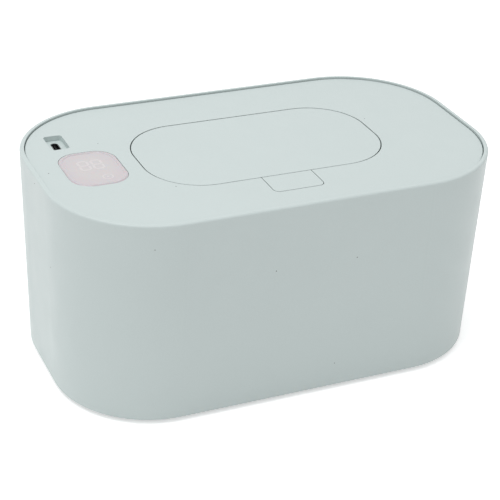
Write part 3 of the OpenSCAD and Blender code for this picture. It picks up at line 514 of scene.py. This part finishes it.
# Contacts of the socket: how many a side, their pitch and size, where they start and end under the
# tongue's tip, and how far they lie from the tongue's middle
CONTACTS, CONTACT_PITCH, CONTACT_SIZE = 12, 0.5, (0.06, 0.25)
CONTACT_LOW, CONTACT_HIGH, CONTACT_OUT = 3.2, 0.5, 0.35


def block(mesh, at, size, base, low, high, chamfer=0.0):
    """A block over a base: its middle and size in plan, its heights and chamfer in millimetres."""
    x, y, w, d = (value * MM for value in (*at, size[0] / 2, size[1] / 2))
    outline = [(x - w, y - d), (x + w, y - d), (x + w, y + d), (x - w, y + d)]
    prism(mesh, outline, base + low * MM, base + high * MM, chamfer * MM)


def lathe(mesh, at, base, profile, count=40):
    """A turned body on a profile of radii and heights; it starts flat and ends on the axis."""
    x, y = at[0] * MM, at[1] * MM
    rings = [
        [(*point, base + height * MM) for point in circle_points(x, y, radius * MM, count)]
        for radius, height in profile[:-1]
    ]
    rows = skin(mesh, rings, smooth=True)
    mesh.faces.new(rows[0][::-1])
    top = mesh.verts.new((x, y, base + profile[-1][1] * MM))
    for i in range(count):
        mesh.faces.new((rows[-1][i], rows[-1][(i + 1) % count], top)).smooth = True


def board_top():
    """Height of the board's upper face."""
    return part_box("control_pcb")[1].z


def socket_contacts():
    """Contacts on both faces of the socket's tongue."""
    low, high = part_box("usb_tongue")
    x, y = (low.x + high.x) / 2 / MM, (low.y + high.y) / 2 / MM
    mesh = bmesh.new()
    for side in (-1, 1):
        for i in range(CONTACTS):
            at = (x + side * CONTACT_OUT, y + (i - (CONTACTS - 1) / 2) * CONTACT_PITCH)
            block(mesh, at, CONTACT_SIZE, high.z, -CONTACT_LOW, -CONTACT_HIGH)
    return mesh


def board_chips():
    """The controller, two transistors, and a coil's body."""
    z = board_top()
    mesh = bmesh.new()
    block(mesh, CHIP_AT, (CHIP_SIDE, CHIP_SIDE), z, BODY_LOW, BODY_HIGH, CHIP_CHAMFER)
    for at in TRANSISTORS:
        block(mesh, at, TRANSISTOR_SIZE, z, BODY_LOW, BODY_HIGH, TRANSISTOR_CHAMFER)
    middle, half = Vector(COIL_AT) * MM, Vector((COIL_SIDE, COIL_SIDE)) * MM / 2
    outline = rounded_points(middle - half, middle + half, COIL_ROUND * MM)
    prism(mesh, outline, z + PAD_T * MM, z + COIL_HIGH * MM, COIL_CHAMFER * MM)
    return mesh


def board_ceramics():
    """Small ceramic capacitors."""
    z = board_top()
    mesh = bmesh.new()
    for at in CERAMICS:
        block(mesh, at, CERAMIC_SIZE, z, CERAMIC_LOW, CERAMIC_HIGH, CERAMIC_CHAMFER)
    return mesh


def board_metal():
    """Legs of the controller and the transistors, ends of the ceramics, the coil's pads and a can."""
    z = board_top()
    mesh = bmesh.new()
    x, y = CHIP_AT
    for i in range(CHIP_LEGS):
        along = (i - (CHIP_LEGS - 1) / 2) * LEG_PITCH
        for side in (-1, 1):
            out = side * (CHIP_SIDE / 2 + LEG_OUT)
            block(mesh, (x + along, y + out), (LEG_W, LEG_LONG), z, 0, LEG_T, LEG_CHAMFER)
            block(mesh, (x + out, y + along), (LEG_LONG, LEG_W), z, 0, LEG_T, LEG_CHAMFER)
    for x, y in TRANSISTORS:
        for leg_x, leg_y in TRANSISTOR_LEGS:
            block(mesh, (x + leg_x, y + leg_y), TRANSISTOR_LEG_SIZE, z, 0, LEG_T, LEG_CHAMFER)
    for x, y in CERAMICS:
        for side in (-1, 1):
            at = (x + side * CERAMIC_END_AT, y)
            block(mesh, at, CERAMIC_END, z, 0, CERAMIC_END_HIGH, CERAMIC_END_CHAMFER)
    for side in (-1, 1):
        at = (COIL_AT[0] + side * COIL_PAD_AT, COIL_AT[1])
        block(mesh, at, COIL_PAD, z, 0, PAD_T, LEG_CHAMFER)
    lathe(mesh, CAN_AT, z, CAN_PROFILE)
    return mesh


# ---------------------------------------------------------------- display

DIGIT_SEGMENTS = {
    "0": "abcdef", "1": "bc", "2": "abged", "3": "abgcd", "4": "fgbc",
    "5": "afgcd", "6": "afgedc", "7": "abc", "8": "abcdefg", "9": "abcdfg",
}
# Ends of each segment, in digit widths and half heights
SEGMENT_ENDS = {
    "a": ((0, 2), (1, 2)), "b": ((1, 2), (1, 1)), "c": ((1, 1), (1, 0)), "d": ((0, 0), (1, 0)),
    "e": ((0, 1), (0, 0)), "f": ((0, 2), (0, 1)), "g": ((0, 1), (1, 1)),
}
# Shares of a digit's height: its width, pitch and left margin, and a segment's width
DIGIT_W, DIGIT_PITCH, DIGIT_LEFT, SEGMENT_W = 0.5, 0.72, 0.11, 0.13
# What a segment is short of each end, as a share of its width
SEGMENT_GAP = 0.12
# How far the middle of the digits lies behind the window's middle
DIGITS_BACK = 3.2 * MM
# Touch ring: its place from the window's middle, its radius, its stroke and the radius of its dot
RING_X, RING_Y, RING_R, RING_STROKE, DOT_R = 3.4 * MM, -9.2 * MM, 2.4 * MM, 0.55 * MM, 0.5 * MM
MARK_SUNK, MARK_PROUD = 0.1 * MM, 0.02 * MM
WINDOW_ROUND = 9 * MM
BEAD_INSET, BEAD_WIDTH, BEAD_HEIGHT, BEAD_STEPS = 0.35 * MM, 1.3 * MM, 0.22 * MM, 8


def segment_outline(start, end, width):
    """The six-sided outline of one segment, a little short of both ends."""
    along = (end - start).normalized()
    point, side = along * width / 2, Vector((-along.y, along.x)) * width / 2
    start, end = start + along * width * SEGMENT_GAP, end - along * width * SEGMENT_GAP
    return [start, start + point - side, end - point - side, end, end - point + side, start + point + side]


def display_marks(look):
    """Digits of segments, and a touch ring with its dot, just proud of the window."""
    low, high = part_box("display_window")
    middle, base, top = (low + high) / 2, high.z - MARK_SUNK, high.z + MARK_PROUD
    tall = look.height
    scale = Vector((tall * DIGIT_W, tall / 2))
    mesh = bmesh.new()
    for index, digit in enumerate(look.digits):
        left = ((index - len(look.digits) / 2) * DIGIT_PITCH + DIGIT_LEFT) * tall
        corner = Vector((middle.x + left, middle.y + DIGITS_BACK - tall / 2))
        for name in DIGIT_SEGMENTS[digit]:
            start, end = (corner + Vector(share) * scale for share in SEGMENT_ENDS[name])
            prism(mesh, segment_outline(start, end, tall * SEGMENT_W), base, top)
    at = (middle.x + RING_X, middle.y + RING_Y)
    outer, inner = (circle_points(*at, radius, 32) for radius in (RING_R, RING_R - RING_STROKE))
    rings = [
        [(*point, z) for point in ring]
        for ring, z in ((outer, base), (outer, top), (inner, top), (inner, base))
    ]
    skin(mesh, rings, closed=True)
    prism(mesh, circle_points(*at, DOT_R, 20), base, top)
    return mesh


def display_bead():
    """Low round bead that frames the window."""
    low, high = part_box("display_window")
    levels = []
    for step in range(BEAD_STEPS + 1):
        angle = math.pi * step / BEAD_STEPS
        inset = BEAD_INSET + BEAD_WIDTH * (1 - math.cos(angle)) / 2
        levels.append((inset, high.z + BEAD_HEIGHT * math.sin(angle)))
    for inset in (BEAD_INSET + BEAD_WIDTH, BEAD_INSET):
        levels.append((inset, high.z - MARK_SUNK))
    rings = [
        [(*point, height) for point in rounded_points(low, high, WINDOW_ROUND, inset)]
        for inset, height in levels
    ]
    mesh = bmesh.new()
    skin(mesh, rings, closed=True, smooth=True)
    return mesh


# ---------------------------------------------------------------- operators


class WARMER_OT_effects(bpy.types.Operator):
    """Build the shader node groups that the materials share"""

    bl_idname = "warmer.effects"
    bl_label = "Shared effects"

    def execute(self, context):
        for build in EFFECTS:
            build()
        return {"FINISHED"}


class WARMER_OT_plastics(bpy.types.Operator):
    """Dress the tub, cover, flap, button and latch in moulded plastic"""

    bl_idname = "warmer.plastics"
    bl_label = "Moulded plastics"

    def execute(self, context):
        look = context.scene.warmer_shell
        grain, depth = look.grain, look.depth
        outer = moulded("Outer plastic", look.outer, look.roughness, grain, depth, seam=0.4, dust=0.8)
        dress(outer, "tub_shell", "cover_panel", "flap_lid", "release_button")
        inner = moulded("Inner plastic", look.inner, 0.33, 2 * grain, depth / 2)
        dress(inner, "tub_liner", "cover_base", "flap_frame")
        slider = moulded("Slider plastic", look.slider, 0.3, grain, depth / 4)
        dress(slider, "latch_slider", "latch_retainer")
        return {"FINISHED"}


class WARMER_OT_soft_parts(bpy.types.Operator):
    """Dress the feet, seals, outlet and insulation"""

    bl_idname = "warmer.soft_parts"
    bl_label = "Rubber, silicone and foam"

    def execute(self, context):
        look = context.scene.warmer_soft
        rubber = moulded("Foot rubber", look.foot, 0.7, 0.3 * MM, 0.02 * MM, mottle=0.08)
        dress(rubber, "feet")
        milky = {"Subsurface Weight": 0.12, "Subsurface Scale": 1.5 * MM, "IOR": 1.41}
        seal = moulded("Seal silicone", look.seal, 0.45, 0.25 * MM, 0.004 * MM, **milky)
        dress(seal, "cover_gasket", "flap_seal")
        outlet = moulded("Outlet silicone", look.outlet, 0.5, 0.25 * MM, 0.006 * MM, **milky)
        dress(outlet, "dispensing_outlet")

        def cells(tree):
            surface = use(tree, "Foam cells", Colour=look.foam, Cell=look.cell)
            return {"Base Color": surface["Colour"], "Normal": surface["Normal"]}

        foam = finish_of("Insulation foam", {"Roughness": 0.85, "Sheen Weight": 0.15}, cells)
        dress(foam, "wall_insulation", "floor_insulation", "heater_insulation")
        return {"FINISHED"}


class WARMER_OT_metals(bpy.types.Operator):
    """Dress the screws, pin, springs, socket and heating plate in metal"""

    bl_idname = "warmer.metals"
    bl_label = "Metals"

    def execute(self, context):
        screws = ("cover_screws", "pcb_screws", "retainer_screws")
        springs = ("hinge_springs", "latch_spring")
        for name, colour, roughness, stretch, names in (
            ("Screw steel", tint(176, 178, 180), 0.34, (900, 900, 2600), screws),
            ("Pin steel", tint(186, 188, 190), 0.22, (120, 2600, 2600), ("hinge_pin",)),
            ("Spring steel", tint(150, 152, 155), 0.3, (1400, 1400, 1400), springs),
            ("Socket steel", tint(128, 130, 131), 0.36, (2200, 2200, 160), ("usb_shell",)),
            ("Plate aluminium", tint(205, 207, 208), 0.38, (60, 3200, 3200), ("heater_plate",)),
        ):
            dress(metal(name, colour, roughness, stretch), *names)
        self.latch_coil()
        return {"FINISHED"}

    def latch_coil(self):
        """The latch's spring as a piece of its own, in place of the CAD spring."""
        coil = show("latch_coil", NODES["latch_spring"].data.copy())
        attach(coil, "cover")
        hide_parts("latch_spring")
        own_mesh(coil)


class WARMER_OT_heating(bpy.types.Operator):
    """Dress the heating film with its etched track, its leads and its cut-out"""

    bl_idname = "warmer.heating"
    bl_label = "Heating film, leads and cut-out"

    def execute(self, context):
        def film(tree):
            surface = use(
                tree, "Moulded grain", Colour=tint(176, 112, 34), Roughness=0.3, Grain=0.6 * MM,
                Depth=0.003 * MM, Mottle=0.1,
            )
            track = use(tree, "Tracks", Pitch=5 * MM, Width=2.6 * MM, Reach=71 * MM)["Mask"]
            inputs = {"Height": track, "Distance": 0.03 * MM, "Normal": surface["Normal"]}
            raised = add(tree, "ShaderNodeBump", inputs).outputs[0]
            return surface_of(surface, blend(tree, track, surface["Colour"], tint(139, 75, 26)), raised)

        lacquer = {"IOR": 1.6, "Coat Weight": 0.4, "Coat Roughness": 0.15}
        dress(finish_of("Heating film", lacquer, film), "heating_film")
        lead = moulded("Lead silicone", tint(196, 62, 48), 0.42, 0.2 * MM, 0.003 * MM)
        dress(lead, "heater_leads")
        housing = moulded("Cut-out housing", tint(52, 46, 42), 0.5, 0.3 * MM, 0.008 * MM)
        dress(housing, "thermal_cutout")
        return {"FINISHED"}


class WARMER_OT_electronics(bpy.types.Operator):
    """Dress the board, the display module and the socket, and put the small parts on the board"""

    bl_idname = "warmer.electronics"
    bl_label = "Board and socket"

    def execute(self, context):
        def board(tree):
            surface = use(
                tree, "Moulded grain", Colour=tint(24, 92, 58), Roughness=0.32, Grain=0.5 * MM,
                Depth=0.004 * MM, Mottle=0.12,
            )
            track = use(tree, "Tracks", Pitch=1.4 * MM, Width=0.5 * MM, Reach=84 * MM)["Mask"]
            return surface_of(surface, blend(tree, track, surface["Colour"], tint(52, 128, 78)))

        dress(finish_of("Circuit board", {"IOR": 1.55, "Coat Weight": 0.3}, board), "control_pcb")
        module = moulded("Module plastic", tint(58, 60, 63), 0.45, 0.3 * MM, 0.006 * MM)
        dress(module, "display_module")
        dull = {"Specular IOR Level": 0.15}
        black = moulded("Black plastic", tint(20, 21, 21), 0.6, 0.2 * MM, 0.004 * MM, **dull)
        dress(black, "usb_tongue")
        gold = metal("Contact gold", tint(214, 172, 88), 0.25, (900, 900, 4000))
        tin = metal("Tinned legs", tint(196, 198, 200), 0.3, (1200, 1200, 1200))
        ceramic = moulded("Ceramic", tint(168, 142, 112), 0.5, 0.15 * MM, 0.004 * MM)
        piece("usb_contacts", socket_contacts(), gold, "cover")
        piece("board_chips", board_chips(), black, "cover")
        piece("board_ceramics", board_ceramics(), ceramic, "cover")
        piece("board_metal", board_metal(), tin, "cover")
        return {"FINISHED"}


class WARMER_OT_display(bpy.types.Operator):
    """Dress the milky window and put its unlit marks and its bead on it"""

    bl_idname = "warmer.display"
    bl_label = "Display"

    def execute(self, context):
        look = context.scene.warmer_display
        low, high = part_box("display_window")
        middle, half = (low + high) / 2, (high - low) / 2

        def milk(tree):
            surface = use(
                tree, "Moulded grain", Colour=look.window, Roughness=0.16, Grain=0.9 * MM,
                Depth=0.001 * MM, Mottle=0.02,
            )
            centred = vector_calc(tree, "SUBTRACT", place(tree), middle)[0]
            scaled = vector_calc(tree, "MULTIPLY", centred, (1 / half.x, 1 / half.y, 0.0))[0]
            reach = vector_calc(tree, "LENGTH", scaled)["Value"]
            outwards = remap(tree, reach, (0.55, 1.05), (0.0, 1.0))
            return surface_of(surface, blend(tree, outwards, surface["Colour"], look.rim))

        clear = {"Coat Weight": 0.6, "Coat Roughness": 0.05, "IOR": 1.5}
        milky = {**clear, "Subsurface Weight": 0.1, "Subsurface Scale": 0.8 * MM}
        window = finish_of("Window plastic", milky, milk)
        dress(window, "display_window")
        marks = moulded("Display marks", look.mark, 0.16, 0.9 * MM, 0.001 * MM, **clear)
        piece("display_marks", display_marks(look), marks, "cover")
        piece("display_bead", display_bead(), window, "cover")
        return {"FINISHED"}


# Floor: its radius, how far it lies under the feet, and its own light where it is seen
FLOOR_R, FLOOR_DROP, FLOOR_GLOW = 6.0, -0.05 * MM, 0.45
# Lamp: its side, its distance and where it hangs, seen from the object
LAMP_SIDE, LAMP_DISTANCE, LAMP_TOWARD = 1.0, 1.3, (-0.28, -0.04, 0.96)
# Camera: its focal length and sensor in millimetres, its shift in sensor widths, and the height that
# it looks at
CAMERA_LENS, CAMERA_SENSOR, CAMERA_SHIFT, CAMERA_AIM = 110.28, 36, (-0.0051, -0.0249), 48.24 * MM


class WARMER_OT_studio(bpy.types.Operator):
    """Set up the floor, the soft lamp, the surroundings and the camera"""

    bl_idname = "warmer.studio"
    bl_label = "Studio"

    def execute(self, context):
        look = context.scene.warmer_studio
        context.scene.view_settings.view_transform = "Standard"
        self.floor(look)
        self.lamp(look)
        self.surroundings(context.scene, look)
        self.camera(context.scene, look)
        return {"FINISHED"}

    @staticmethod
    def seen(tree):
        """1 for what the camera sees, straight, in a reflection or through glass."""
        path = add(tree, "ShaderNodeLightPath").outputs
        seen = calc(tree, "ADD", path["Is Camera Ray"], path["Is Glossy Ray"])
        return calc(tree, "ADD", seen, path["Is Transmission Ray"], clamp=True)

    def floor(self, look):
        """A wide round floor, seen as white, which keeps the object's shadow."""
        material = bpy.data.materials.new("Floor")
        material.use_nodes = True
        tree = material.node_tree
        tree.nodes.clear()
        diffuse = add(tree, "ShaderNodeBsdfDiffuse", {"Color": look.floor})
        strength = calc(tree, "MULTIPLY", self.seen(tree), FLOOR_GLOW)
        glow = add(tree, "ShaderNodeEmission", {"Strength": strength})
        both = add(tree, "ShaderNodeAddShader", {0: diffuse.outputs[0], 1: glow.outputs[0]})
        add(tree, "ShaderNodeOutputMaterial", {"Surface": both.outputs[0]})
        mesh = bmesh.new()
        bmesh.ops.create_circle(mesh, cap_ends=True, segments=96, radius=FLOOR_R)
        floor = show("floor", mesh_of("floor", mesh, material))
        floor.location.z = FLOOR_DROP

    def lamp(self, look):
        """One soft square lamp above, a little to the left."""
        data = bpy.data.lights.new("soft_lamp", "AREA")
        data.shape, data.size, data.size_y, data.energy = "RECTANGLE", LAMP_SIDE, LAMP_SIDE, look.lamp
        lamp = show("soft_lamp", data)
        toward = Vector(LAMP_TOWARD).normalized()
        lamp.location = toward * LAMP_DISTANCE
        lamp.rotation_euler = toward.to_track_quat("Z", "Y").to_euler()

    def surroundings(self, scene, look):
        """A white world, which lights the object less than its own white shows."""
        scene.world = bpy.data.worlds.new("studio")
        scene.world.use_nodes = True
        tree = scene.world.node_tree
        background = tree.nodes["Background"].inputs
        join(tree, background["Color"], (1.0, 1.0, 1.0))
        join(tree, background["Strength"], remap(tree, self.seen(tree), (0.0, 1.0), (look.ambient, 1.0)))

    def camera(self, scene, look):
        """A camera at the photograph's viewing angle."""
        turn, rise, roll = look.azimuth, look.elevation, look.roll
        back = Vector((math.sin(turn) * math.cos(rise), -math.cos(turn) * math.cos(rise), math.sin(rise)))
        right = Vector((math.cos(turn), math.sin(turn), 0))
        up = back.cross(right)
        rolled_right = right * math.cos(roll) + up * math.sin(roll)
        rolled_up = up * math.cos(roll) - right * math.sin(roll)
        data = bpy.data.cameras.new("camera")
        data.lens, data.sensor_width = CAMERA_LENS, CAMERA_SENSOR
        data.shift_x, data.shift_y = CAMERA_SHIFT
        camera = show("camera", data)
        axes = Matrix((rolled_right, rolled_up, back)).transposed().to_4x4()
        camera.matrix_world = Matrix.Translation(Vector((0, 0, CAMERA_AIM)) + back * look.distance) @ axes
        scene.camera = camera


class WARMER_PT_looks(bpy.types.Panel):
    """Buttons and settings of the wipe warmer"""

    bl_label = "Wipe warmer"
    bl_idname = "WARMER_PT_looks"
    bl_space_type = "VIEW_3D"
    bl_region_type = "UI"
    bl_category = "Wipe warmer"

    def draw(self, context):
        for step in STEPS:
            self.layout.operator(step.bl_idname)
        for name, kind in SETTINGS.items():
            box = self.layout.box()
            box.label(text=kind.__doc__)
            for field in kind.__annotations__:
                box.prop(getattr(context.scene, name), field)


STEPS = (
    WARMER_OT_effects,
    WARMER_OT_plastics,
    WARMER_OT_soft_parts,
    WARMER_OT_metals,
    WARMER_OT_heating,
    WARMER_OT_electronics,
    WARMER_OT_display,
    WARMER_OT_studio,
)
SETTINGS = {
    "warmer_shell": ShellLook,
    "warmer_soft": SoftLook,
    "warmer_display": DisplayLook,
    "warmer_studio": StudioLook,
}


def register():
    """Registers the classes and puts their settings on the scene."""
    for kind in (*SETTINGS.values(), *STEPS, WARMER_PT_looks):
        bpy.utils.register_class(kind)
    for name, kind in SETTINGS.items():
        setattr(bpy.types.Scene, name, PointerProperty(type=kind))


def unregister():
    """Takes the settings off the scene and unregisters the classes."""
    for name in SETTINGS:
        delattr(bpy.types.Scene, name)
    for kind in (WARMER_PT_looks, *STEPS[::-1], *SETTINGS.values()):
        bpy.utils.unregister_class(kind)


def main():
    """Makes the whole scene."""
    register()
    for step in STEPS:
        group, name = step.bl_idname.split(".")
        getattr(getattr(bpy.ops, group), name)()


if __name__ == "__main__":
    main()
